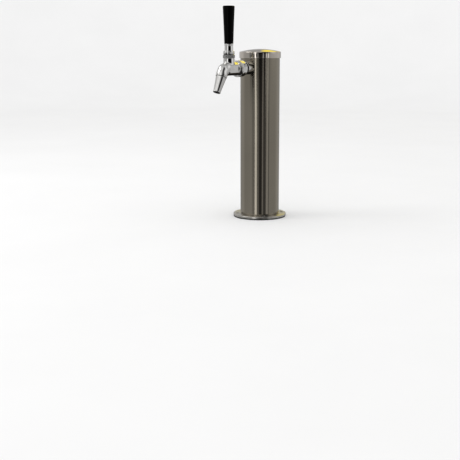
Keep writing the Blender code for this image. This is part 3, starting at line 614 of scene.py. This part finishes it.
def casting_field(points):
    """Distance-like field of the faucet casting's outside, zero on its skin.

    Points are in the row frame. s is the station, x across, h the height over the faucet's axis.
    """
    s = COLUMN_Y - points[:, 1]
    x = points[:, 0]
    h = points[:, 2] - FAUCET_Z
    start = BARREL_BACK + 0.3 * MM
    taper = np.clip((s - (ELBOW_STATION - 9.0 * MM)) / (9.0 * MM), 0.0, 1.0)
    taper = taper * taper * (3.0 - 2.0 * taper)
    radius = BARREL_RADIUS - (BARREL_RADIUS - ELBOW_RADIUS) * taper
    barrel = np.hypot(x, h) - radius
    run_out = np.clip((s - (LEVER_STATION + 8.5 * MM)) / (6.0 * MM), 0.0, 1.0)
    flat = np.abs(x) - (BARREL_FLAT + 2.2 * MM * run_out ** 2)
    barrel = blend_cut(barrel, flat, 0.35 * MM)
    barrel = blend_cut(barrel, s - ELBOW_STATION, 0.3 * MM)
    barrel = blend_cut(barrel, start - s, 0.2 * MM)
    elbow = np.sqrt((s - ELBOW_STATION) ** 2 + x ** 2 + h ** 2) - ELBOW_RADIUS
    field = blend_union(barrel, elbow, 1.0 * MM)
    down = (s - ELBOW_STATION) * sin(SPOUT_TILT) - h * cos(SPOUT_TILT)
    side = (s - ELBOW_STATION) * cos(SPOUT_TILT) + h * sin(SPOUT_TILT)
    along = np.clip(down / SPOUT_JOINT, 0.0, 1.0)
    socket = np.hypot(x, side) - (9.3 * MM + 4.9 * MM * along - 4.0 * MM * along ** 2)
    socket = blend_cut(socket, -down, 1.0 * MM)
    field = blend_union(field, socket, 2.5 * MM)
    field = blend_cut(field, down - SPOUT_JOINT, 0.6 * MM)
    boss = np.hypot(x, s - LEVER_STATION) - BOSS_RADIUS - 0.03 * (BOSS_TOP - FAUCET_Z - h)
    boss = blend_cut(boss, -h, 0.5 * MM)
    boss = blend_cut(boss, h - (BOSS_TOP - FAUCET_Z), 0.5 * MM)
    return blend_union(field, boss, 1.6 * MM)


def settle(mesh_data):
    """Relax a mesh's points and move them onto the casting's skin."""
    count = len(mesh_data.vertices)
    points = np.zeros(count * 3)
    mesh_data.vertices.foreach_get("co", points)
    points = points.reshape(-1, 3)
    ends = np.zeros(len(mesh_data.edges) * 2, np.int32)
    mesh_data.edges.foreach_get("vertices", ends)
    one, other = ends.reshape(-1, 2).T
    degree = np.bincount(one, minlength=count) + np.bincount(other, minlength=count)
    probe = 0.02 * MM
    rounds = 16
    relaxing_rounds = 12
    for round_number in range(rounds):
        if round_number < relaxing_rounds:
            total = np.zeros_like(points)
            np.add.at(total, one, points[other])
            np.add.at(total, other, points[one])
            points = 0.5 * points + 0.5 * total / degree[:, None]
        for _ in range(3):
            value = casting_field(points)
            slope = np.zeros_like(points)
            for axis in range(3):
                step = np.zeros(3)
                step[axis] = probe
                rise = casting_field(points + step) - casting_field(points - step)
                slope[:, axis] = rise / (2.0 * probe)
            points -= slope * (value / np.maximum((slope ** 2).sum(1), 0.05))[:, None]
    mesh_data.vertices.foreach_set("co", points.astype(np.float32).ravel())
    mesh_data.update()


def rough_casting():
    """Overlapping solids remeshed to an even net of faces, for the casting's skin to start from."""
    barrel = [(0.0, BARREL_BACK + 0.3 * MM), (12.4 * MM, BARREL_BACK + 0.3 * MM), (12.4 * MM, 109.0 * MM)]
    barrel += arc(ELBOW_RADIUS, ELBOW_STATION, pi / 2.0, 0.0, 16)
    socket = [(0.0, 0.0), (9.3 * MM, 0.0), (10.7 * MM, 8.0 * MM), (10.2 * MM, SPOUT_JOINT), (0.0, SPOUT_JOINT)]
    boss = [(0.0, FAUCET_Z), (BOSS_RADIUS, FAUCET_Z), (BOSS_RADIUS, BOSS_TOP), (0.0, BOSS_TOP)]
    parts = [
        guide("rough_barrel", lathe(barrel, 64), along_faucet()),
        guide("rough_socket", lathe(socket, 64), along_spout()),
        guide("rough_boss", lathe(boss, 64), upright(LEVER_Y)),
    ]
    mesh = bmesh.new()
    for part in parts:
        part.data.transform(part.matrix_world)
        mesh.from_mesh(part.data)
        bpy.data.objects.remove(part)
    whole = guide("rough_casting", mesh, Matrix())
    remesh = whole.modifiers.new("net", "REMESH")
    remesh.mode = "VOXEL"
    remesh.voxel_size = 0.42 * MM
    bpy.context.view_layer.update()
    data = bpy.data.meshes.new_from_object(whole.evaluated_get(bpy.context.evaluated_depsgraph_get()))
    bpy.data.objects.remove(whole)
    return data


def lever_clearance(radius, height):
    """How far the tilted lever reaches at a height from the ball's centre, with 0.35 mm to spare."""
    return height * tan(TILT_RANGE) + radius / cos(TILT_RANGE) + 0.35 * MM


def build_faucet_body():
    data = rough_casting()
    settle(data)
    mesh = bmesh.new()
    mesh.from_mesh(data)
    bpy.data.meshes.remove(data)
    body = add_piece(
        "faucet_casting", mesh, Matrix(), cast_finish, "column", ["faucet_body"], False,
    )
    neck = 9.0 * MM
    rim = BARREL_RADIUS + 0.5 * MM
    rear = [
        (0.0, FAUCET_BACK), (13.2 * MM, FAUCET_BACK), (13.2 * MM, FAUCET_BACK + 2.2 * MM),
        (neck, FAUCET_BACK + 2.5 * MM, 0.1 * MM), (neck, BARREL_BACK - 5.5 * MM, 2.5 * MM),
        (neck + 0.7 * MM, BARREL_BACK - 3.0 * MM, 3.0 * MM), (BARREL_RADIUS, BARREL_BACK - 0.9 * MM, 0.5 * MM),
        (rim, BARREL_BACK - 0.4 * MM), (rim, BARREL_BACK + 1.1 * MM),
        (BARREL_RADIUS - 0.4 * MM, BARREL_BACK + 1.6 * MM),
        (0.0, BARREL_BACK + 1.6 * MM),
    ]
    thread = BOSS_RADIUS - 0.8 * MM
    top = BOSS_TOP + 3.1 * MM
    boss_neck = [(0.0, BOSS_TOP - 1.0 * MM), (thread, BOSS_TOP - 1.0 * MM), (thread, top), (0.0, top)]
    carve(
        body,
        [
            guide("rear_neck", lathe(fillet(rear, 0.25 * MM)), along_faucet()),
            guide("boss_neck", lathe(boss_neck), upright(LEVER_Y)),
        ],
        "UNION",
    )
    start = FAUCET_BACK - 1.0 * MM
    seat_station = 111.6 * MM
    throat = 4.7 * MM
    chamber = [(0.0, start), (CHAMBER_RADIUS, start), (CHAMBER_RADIUS, seat_station - 1.0 * MM)]
    chamber += [(throat, seat_station), (throat, seat_station + 3.4 * MM), (0.0, seat_station + 3.4 * MM)]
    hollow = arc(6.6 * MM, ELBOW_STATION + 1.0 * MM, pi, 0.0, 24)
    bore = [(0.0, 3.0 * MM), (6.0 * MM, 3.6 * MM), (6.0 * MM, 7.0 * MM), (7.9 * MM, 7.4 * MM)]
    bore += [(7.9 * MM, SPOUT_JOINT - 1.5 * MM), (9.3 * MM, SPOUT_JOINT - 1.5 * MM)]
    bore += [(9.3 * MM, SPOUT_JOINT + 1.0 * MM), (0.0, SPOUT_JOINT + 1.0 * MM)]
    floor = PIVOT_Z - 5.1 * MM
    well_bottom = FAUCET_Z + 1.3 * MM
    seat = [(0.0, well_bottom), (4.6 * MM, well_bottom), (4.6 * MM, floor), (7.95 * MM, floor)]
    seat += [(7.95 * MM, floor + 3.5 * MM), (8.3 * MM, floor + 3.9 * MM), (8.3 * MM, top + 1.0 * MM)]
    seat += [(0.0, top + 1.0 * MM)]
    low = FAUCET_Z - PIVOT_Z + 5.0 * MM
    high = floor - PIVOT_Z + 0.2 * MM
    swing = [
        (LEVER_Y - 4.0 * MM, PIVOT_Z + low), (LEVER_Y + lever_clearance(FINGER_RADIUS, -low), PIVOT_Z + low),
        (LEVER_Y + lever_clearance(FINGER_RADIUS, -high), PIVOT_Z + high), (LEVER_Y - 4.0 * MM, PIVOT_Z + high),
    ]
    carve(
        body,
        [
            guide("chamber", lathe(chamber), along_faucet()),
            guide("elbow_hollow", lathe(hollow, 64), along_faucet()),
            guide("spout_bore", lathe(bore, 64), along_spout()),
            guide("finger_swing", prism(swing, 3.2 * MM), Matrix()),
            guide("ball_seat", lathe(seat, 64), upright(LEVER_Y)),
        ],
    )


def build_spout():
    neck = 7.6 * MM
    neck_end = SPOUT_JOINT - 8.0 * MM
    tip = SPOUT_TIP_RADIUS
    outline = [
        (5.8 * MM, neck_end), (neck, neck_end), (neck, SPOUT_SHOULDER),
        (SPOUT_TOP_RADIUS, SPOUT_SHOULDER, 0.4 * MM), (tip - 0.2 * MM, SPOUT_END - 1.7 * MM, 0.3 * MM),
        (tip - 0.45 * MM, SPOUT_END - 1.35 * MM, 0.2 * MM), (tip, SPOUT_END - 1.0 * MM, 0.4 * MM),
        (tip, SPOUT_END, 0.5 * MM), (5.2 * MM, SPOUT_END, 0.4 * MM), (5.2 * MM, SPOUT_END - 2.8 * MM),
        (5.8 * MM, SPOUT_SHOULDER + 3.4 * MM),
    ]
    tube = lathe(fillet(outline))
    tube.transform(along_spout())
    add_piece("tapered_spout", tube, Matrix(), cast_finish, "column", ["spout"])
    inner, outer = neck + GAP, 9.0 * MM
    low, high = SPOUT_JOINT - 1.2 * MM, SPOUT_SHOULDER - GAP
    ring = fillet([(inner, low), (outer, low), (outer, high), (inner, high)], 0.5 * MM)
    seal = lathe(ring)
    seal.transform(along_spout())
    add_piece("spout_seal", seal, Matrix(), rubber_finish, "column", ["spout_oring"])


# ---------------------------------------------------------------- lever stack and handle
def build_bonnet():
    thread = BOSS_RADIUS - 0.5 * MM
    bottom = bonnet_low.z
    groove_top = BOSS_TOP + 3.4 * MM
    plug = 7.6 * MM
    underside = PIVOT_Z + 7.0 * MM
    edge = PIVOT_Z + 11.6 * MM
    rim = asin((BONNET_RADIUS - 1.2 * MM) / DOME_RADIUS)
    outline = arc(DOME_RADIUS, PIVOT_Z, 0.0, rim, 14)
    rows = 26
    for row in range(rows + 1):
        outline.append((BONNET_RADIUS, edge - (edge - bottom - 0.3 * MM) * row / rows))
    outline += [(BONNET_RADIUS - 0.3 * MM, bottom), (thread, bottom), (thread, groove_top)]
    outline += [(plug, groove_top), (plug, underside), (0.0, underside)]
    ridges = 36
    depth = 0.42 * MM

    def knurl(radius, height, angle):
        if radius < BONNET_RADIUS - 0.01 * MM:
            return radius
        climb = ridges * height / BONNET_RADIUS
        one = abs(sin(0.5 * (ridges * angle + climb)))
        other = abs(sin(0.5 * (ridges * angle - climb)))
        fade = min(1.0, (edge - height) / (0.5 * MM), (height - bottom) / (0.5 * MM))
        return radius - depth * fade * (1.0 - min(one, other)) ** 2

    bonnet = add_piece(
        "knurled_bonnet", lathe(outline, 288, knurl), upright(LEVER_Y), knurl_shaded_finish,
        "column", ["bonnet"], False,
    )
    back = LEVER_Y + NECK_RADIUS + 0.4 * MM
    low = underside - PIVOT_Z - 1.0 * MM
    high = DOME_RADIUS + 1.5 * MM
    slot = [
        (back, PIVOT_Z + low), (LEVER_Y - lever_clearance(NECK_RADIUS, low), PIVOT_Z + low),
        (LEVER_Y - lever_clearance(NECK_RADIUS, high), PIVOT_Z + high), (back, PIVOT_Z + high),
    ]
    carve(bonnet, [guide("neck_slot", prism(slot, NECK_RADIUS + 0.35 * MM), Matrix())])


def build_lever():
    tip_end = asin(FINGER_RADIUS / FINGER_TIP_RADIUS)
    below = pi - asin(FINGER_RADIUS / BALL_RADIUS)
    above = asin(NECK_RADIUS / BALL_RADIUS)
    stud_bottom = PIVOT_Z + DISH_RADIUS + 0.8 * MM
    stud_top = GRIP_BOTTOM + 14.0 * MM
    pitch = 25.4 * MM / 16.0
    outline = arc(FINGER_TIP_RADIUS, FAUCET_Z, pi, tip_end, 16)
    outline += arc(BALL_RADIUS, PIVOT_Z, below, above, 36)
    outline += [(NECK_RADIUS, stud_bottom - 0.8 * MM), (STUD_RADIUS - 0.8 * MM, stud_bottom)]
    outline += threads(STUD_RADIUS, stud_bottom + 0.3 * MM, stud_top - 0.8 * MM, pitch, 0.7 * MM)
    outline += [(STUD_RADIUS - 1.2 * MM, stud_top), (0.0, stud_top)]
    add_piece(
        "ball_lever", lathe(outline, 96), upright(LEVER_Y), cast_finish, "handle", ["lever"], False,
    )


def build_lever_collar():
    bore = STUD_RADIUS + GAP
    outer = LEVER_COLLAR_RADIUS
    rim = asin((outer - 0.9 * MM) / DISH_RADIUS)
    bottom = PIVOT_Z + DISH_RADIUS * cos(rim)
    middle = (bottom + LEVER_COLLAR_TOP) / 2.0 + 0.6 * MM
    outline = arc(DISH_RADIUS, PIVOT_Z, asin(bore / DISH_RADIUS), rim, 12)
    outline += fillet(
        [
            (outer - 0.9 * MM, bottom, 0.0), (outer, bottom + 0.8 * MM), (outer, middle - 0.5 * MM),
            (outer - 0.55 * MM, middle), (outer - 0.1 * MM, middle + 0.6 * MM),
            (outer - 0.25 * MM, LEVER_COLLAR_TOP, 0.7 * MM), (bore, LEVER_COLLAR_TOP, 0.0),
        ],
        0.25 * MM,
    )[1:]
    add_piece(
        "lever_ring", lathe(outline), upright(LEVER_Y), chrome_finish,
        "handle", ["lever_collar"],
    )


def build_handle():
    bore = STUD_RADIUS + 2.0 * GAP
    bottom = LEVER_COLLAR_TOP + GAP
    top = GRIP_BOTTOM - GAP
    outline = [
        (bore, bottom), (8.3 * MM, bottom, 0.4 * MM), (8.2 * MM, bottom + 1.2 * MM, 1.0 * MM),
        (7.95 * MM, top - 3.5 * MM, 3.0 * MM), (8.4 * MM, top), (bore, top),
    ]
    add_piece(
        "chrome_ferrule", lathe(fillet(outline)), upright(LEVER_Y), chrome_finish,
        "handle", ["handle_ferrule"],
    )
    cavity = 7.2 * MM
    cavity_top = GRIP_BOTTOM + 20.0 * MM
    side = []
    rows = 24
    start = GRIP_BOTTOM + 0.5 * MM
    end = GRIP_TOP - 2.4 * MM
    narrow = 8.38 * MM
    wide = 10.95 * MM
    for row in range(rows + 1):
        share = row / rows
        radius = narrow + (wide - narrow) * (0.78 * share + 0.22 * share ** 2)
        side.append((radius, start + (end - start) * share))
    crown = [(10.93 * MM, GRIP_TOP - 1.9 * MM), (10.75 * MM, GRIP_TOP - 1.15 * MM), (10.3 * MM, GRIP_TOP - 0.5 * MM)]
    crown += [(9.6 * MM, GRIP_TOP - 0.12 * MM), (8.6 * MM, GRIP_TOP), (0.0, GRIP_TOP)]
    outline = [(0.0, cavity_top), (cavity, cavity_top - 1.0 * MM), (cavity, GRIP_BOTTOM), (8.1 * MM, GRIP_BOTTOM)]
    outline += side + crown
    add_piece(
        "black_grip", lathe(outline), upright(LEVER_Y), grip_finish, "handle", ["handle_grip"],
    )


def dress_hidden_nodes():
    """Finishes for the CAD nodes that stay."""
    finishes = {
        "column_spigot": machined_finish, "foam_liner": foam_finish, "cap_grip_ring": rubber_finish,
        "inner_saddle_washer": machined_finish,
        "shank_lock_nut": machined_finish, "tailpiece_elbow": machined_finish, "tailpiece_washer": rubber_finish,
        "tailpiece_nut": machined_finish, "faucet_washer": rubber_finish, "ball_seal_oring": rubber_finish,
        "ball_bearing_ring": nylon_finish, "shuttle": machined_finish, "shuttle_seal": rubber_finish,
        "handle_insert": brass_finish,
    }
    for name, finish in finishes.items():
        node = frame["nodes"][name]
        node.data.materials.clear()
        node.data.materials.append(finish)


# ---------------------------------------------------------------- studio
def build_floor():
    """A pale sweep that rises into a wall all round. Reflections and diffuse light don't see it."""
    flat = 3.0
    bend = 1.5
    outline = [(0.0, 0.0)] + [(flat * step / 12, 0.0) for step in range(1, 13)]
    outline += [(flat + bend * sin(pi / 24 * step), bend - bend * cos(pi / 24 * step)) for step in range(1, 13)]
    outline += [(flat + bend, 4.0)]
    made, nodes, shader = new_material("studio_floor")
    place = nodes.add("ShaderNodeTexCoord").outputs["Object"]
    tone = nodes.ramp(nodes.noise(place, 3.0), [(0.3, 0.84), (0.7, 0.86)])
    nodes.tree.links.new(tone, shader.inputs["Base Color"])
    shader.inputs["Roughness"].default_value = 0.8
    shader.inputs["Specular IOR Level"].default_value = 0.1
    floor = guide("studio_floor", lathe(outline, 96), Matrix())
    for face in floor.data.polygons:
        face.use_smooth = True
    floor.data.materials.append(made)
    floor.visible_glossy = False
    floor.visible_diffuse = False


CAMERA_AZIMUTH = radians(35.095)
CAMERA_DISTANCE = 1.7643
CAMERA_HEIGHT = 0.3359
CAMERA_YAW = radians(37.019)
CAMERA_PITCH = radians(11.713)
CAMERA_ROLL = radians(-0.195)
CAMERA_LENS = 70.27


def build_camera():
    camera = bpy.data.objects.new("camera", bpy.data.cameras.new("camera"))
    camera.data.lens = CAMERA_LENS
    camera.data.sensor_width = 36.0
    place = Vector((sin(CAMERA_AZIMUTH), -cos(CAMERA_AZIMUTH), 0.0)) * CAMERA_DISTANCE
    place += Vector((0.0, COLUMN_Y, CAMERA_HEIGHT))
    turn = Matrix.Rotation(CAMERA_YAW, 4, "Z") @ Matrix.Rotation(pi / 2.0 - CAMERA_PITCH, 4, "X")
    camera.matrix_world = Matrix.Translation(place) @ turn @ Matrix.Rotation(CAMERA_ROLL, 4, "Z")
    bpy.context.scene.collection.objects.link(camera)
    bpy.context.scene.camera = camera


# Brightness of what polished metal reflects, by degrees to the right of the camera's place, in four
# zones from below the horizon upwards. The directions are fixed in the world. The values were given
# one by one to reproduce the reflections in the photograph, so this is not a plain studio.
LOW_WALLS = (
    (-180, 0.35), (-150, 0.38), (-135, 0.47), (-115, 0.53), (-98, 0.41), (-48, 0.44), (-46, 0.3), (-36, 0.34),
    (-34, 0.16), (-30.5, 0.16), (-29.5, 1.35), (-17.5, 1.2), (-16.5, 0.24), (-5, 0.22), (-4, 0.05), (12, 0.05),
    (13.5, 0.36), (18, 0.36), (19.5, 0.12), (34, 0.08), (37, 0.3), (43, 0.52), (48, 0.56), (50, 0.2), (55, 0.24),
    (58, 0.41), (100, 0.41), (118, 0.5), (130, 0.54), (145, 0.44), (180, 0.35),
)
WALLS = (
    (-180, 0.35), (-145, 0.55), (-113, 0.54), (-95, 0.38), (-64, 0.36), (-56, 0.12), (-44, 0.06), (-30, 0.18),
    (-28, 1.8), (-24, 1.8), (-22.5, 0.0), (-17, 0.03), (-15, 0.24), (-9, 0.17), (-7, 0.01), (10, 0.02),
    (16, 0.15), (17, 0.42), (20, 0.42), (22, 0.0), (26, 0.0), (32, 0.12), (33.5, 0.75), (37.5, 0.75),
    (39.5, 0.25), (43, 0.25), (45, 0.95), (49, 0.95), (51, 0.32), (60, 0.4), (125, 0.54), (180, 0.35),
)
HIGH_WALLS = (
    (-180, 0.5), (-155, 0.7), (-120, 0.5), (-100, 0.45), (-56, 0.35), (-37, 0.3), (-35, 1.3), (-22, 1.3),
    (-20, 0.2), (-14, 0.1), (-11, 0.0), (50, 0.0), (58, 0.3), (66, 0.5), (75, 0.75), (92, 0.75), (100, 0.5),
    (120, 0.5), (150, 0.6), (180, 0.5),
)
UPPER = (
    (-180, 0.34), (-160, 0.6), (-144, 0.65), (-120, 0.5), (-95, 0.55), (-70, 0.8), (-56, 0.95), (-40, 0.65),
    (-33, 0.6), (-30, 1.2), (-22, 1.2), (-18, 0.7), (0, 0.7), (6, 0.6), (14, 0.2), (20, 0.03), (42, 0.03),
    (50, 0.25), (56, 0.4), (62, 0.75), (82, 0.85), (95, 0.6), (104, 0.3), (118, 0.35), (135, 0.45), (180, 0.34),
)


OVERHEAD = (0.5, 0.5, 0.5, 1.0)
GOLDEN = (1.3, 1.05, 0.12, 1.0)
UNDERNEATH = (0.02, 0.02, 0.02, 1.0)
EVEN_WHITE = (1.16, 1.16, 1.16, 1.0)
BACKDROP = (0.88, 0.87, 0.865, 1.0)


def build_world():
    """The surroundings, different for each kind of ray.

    The camera sees a pale backdrop, diffuse light is an even white, and reflections see the striped
    walls, a golden patch and a dark zone underneath.
    """
    world = bpy.data.worlds.new("studio")
    bpy.context.scene.world = world
    world.use_nodes = True
    tree = world.node_tree
    nodes = Nodes(tree)
    background = tree.nodes["Background"]
    way = nodes.add("ShaderNodeTexCoord").outputs["Generated"]
    x, y, z = nodes.add("ShaderNodeSeparateXYZ", Vector=way).outputs
    heading = nodes.math("ARCTAN2", x, nodes.math("MULTIPLY", y, -1.0))
    turn = nodes.add("ShaderNodeMath", i0=nodes.math("SUBTRACT", heading, CAMERA_AZIMUTH), i1=pi, i2=-pi)
    turn.operation = "WRAP"
    share = nodes.math("ADD", nodes.math("DIVIDE", turn.outputs[0], 2.0 * pi), 0.5)

    def at(degrees):
        return 0.5 + degrees / 360.0

    def band(stops):
        return nodes.ramp(share, [(at(degrees), grey) for degrees, grey in stops])

    lift = nodes.math("ADD", z, 0.5)
    room = band(LOW_WALLS)
    for stops, start, end in ((WALLS, -0.06, -0.03), (HIGH_WALLS, -0.004, 0.012), (UPPER, 0.16, 0.3)):
        rise = nodes.ramp(lift, [(0.5 + start, 0.0), (0.5 + end, 1.0)])
        room = nodes.add("ShaderNodeMixRGB", Fac=rise, Color1=room, Color2=band(stops)).outputs[0]
    overhead = nodes.ramp(z, [(0.7, 0.0), (0.86, 1.0)])
    room = nodes.add("ShaderNodeMixRGB", Fac=overhead, Color1=room, Color2=OVERHEAD).outputs[0]
    height = nodes.ramp(z, [(0.26, 0.0), (0.3, 1.0), (0.66, 1.0), (0.7, 0.0)])
    width = nodes.ramp(share, [(at(134), 0.0), (at(138), 1.0), (at(178), 1.0), (at(180), 0.0)])
    glow = nodes.math("MULTIPLY", height, width)
    room = nodes.add("ShaderNodeMixRGB", Fac=glow, Color1=room, Color2=GOLDEN).outputs[0]
    deeper = nodes.ramp(share, [(at(25), 0.0), (at(32), 0.28), (at(125), 0.28), (at(140), 0.0)])
    depth = nodes.math("MULTIPLY", nodes.math("ADD", z, deeper), -1.0)
    below = nodes.ramp(depth, [(0.34, 0.0), (0.44, 1.0)])
    room = nodes.add("ShaderNodeMixRGB", Fac=below, Color1=room, Color2=UNDERNEATH).outputs[0]
    path = nodes.add("ShaderNodeLightPath").outputs
    soft = nodes.add("ShaderNodeMixRGB", Fac=path["Is Diffuse Ray"], Color1=room, Color2=EVEN_WHITE)
    pale = nodes.add(
        "ShaderNodeMixRGB", Fac=path["Is Camera Ray"], Color1=soft.outputs[0], Color2=BACKDROP,
    )
    tree.links.new(pale.outputs[0], background.inputs["Color"])
    background.inputs["Strength"].default_value = 1.0


def add_light(name, place, target, size, power):
    data = bpy.data.lights.new(name, "AREA")
    data.shape = "RECTANGLE"
    data.size, data.size_y = size
    data.energy = power
    light = bpy.data.objects.new(name, data)
    light.location = place
    light.rotation_euler = (Vector(target) - Vector(place)).to_track_quat("-Z", "Y").to_euler()
    bpy.context.scene.collection.objects.link(light)


def build_lights():
    middle = (0.0, 0.0, 0.2)
    add_light("key", (-1.2, -1.0, 1.6), middle, (0.8, 0.8), 6.0)


build_base()
build_column()
build_cap()
build_shank()
build_coupling()
build_faucet_body()
build_spout()
build_bonnet()
build_lever()
build_lever_collar()
build_handle()
dress_hidden_nodes()
build_floor()
build_camera()
build_world()
build_lights()
bpy.context.scene.view_settings.view_transform = "Standard"
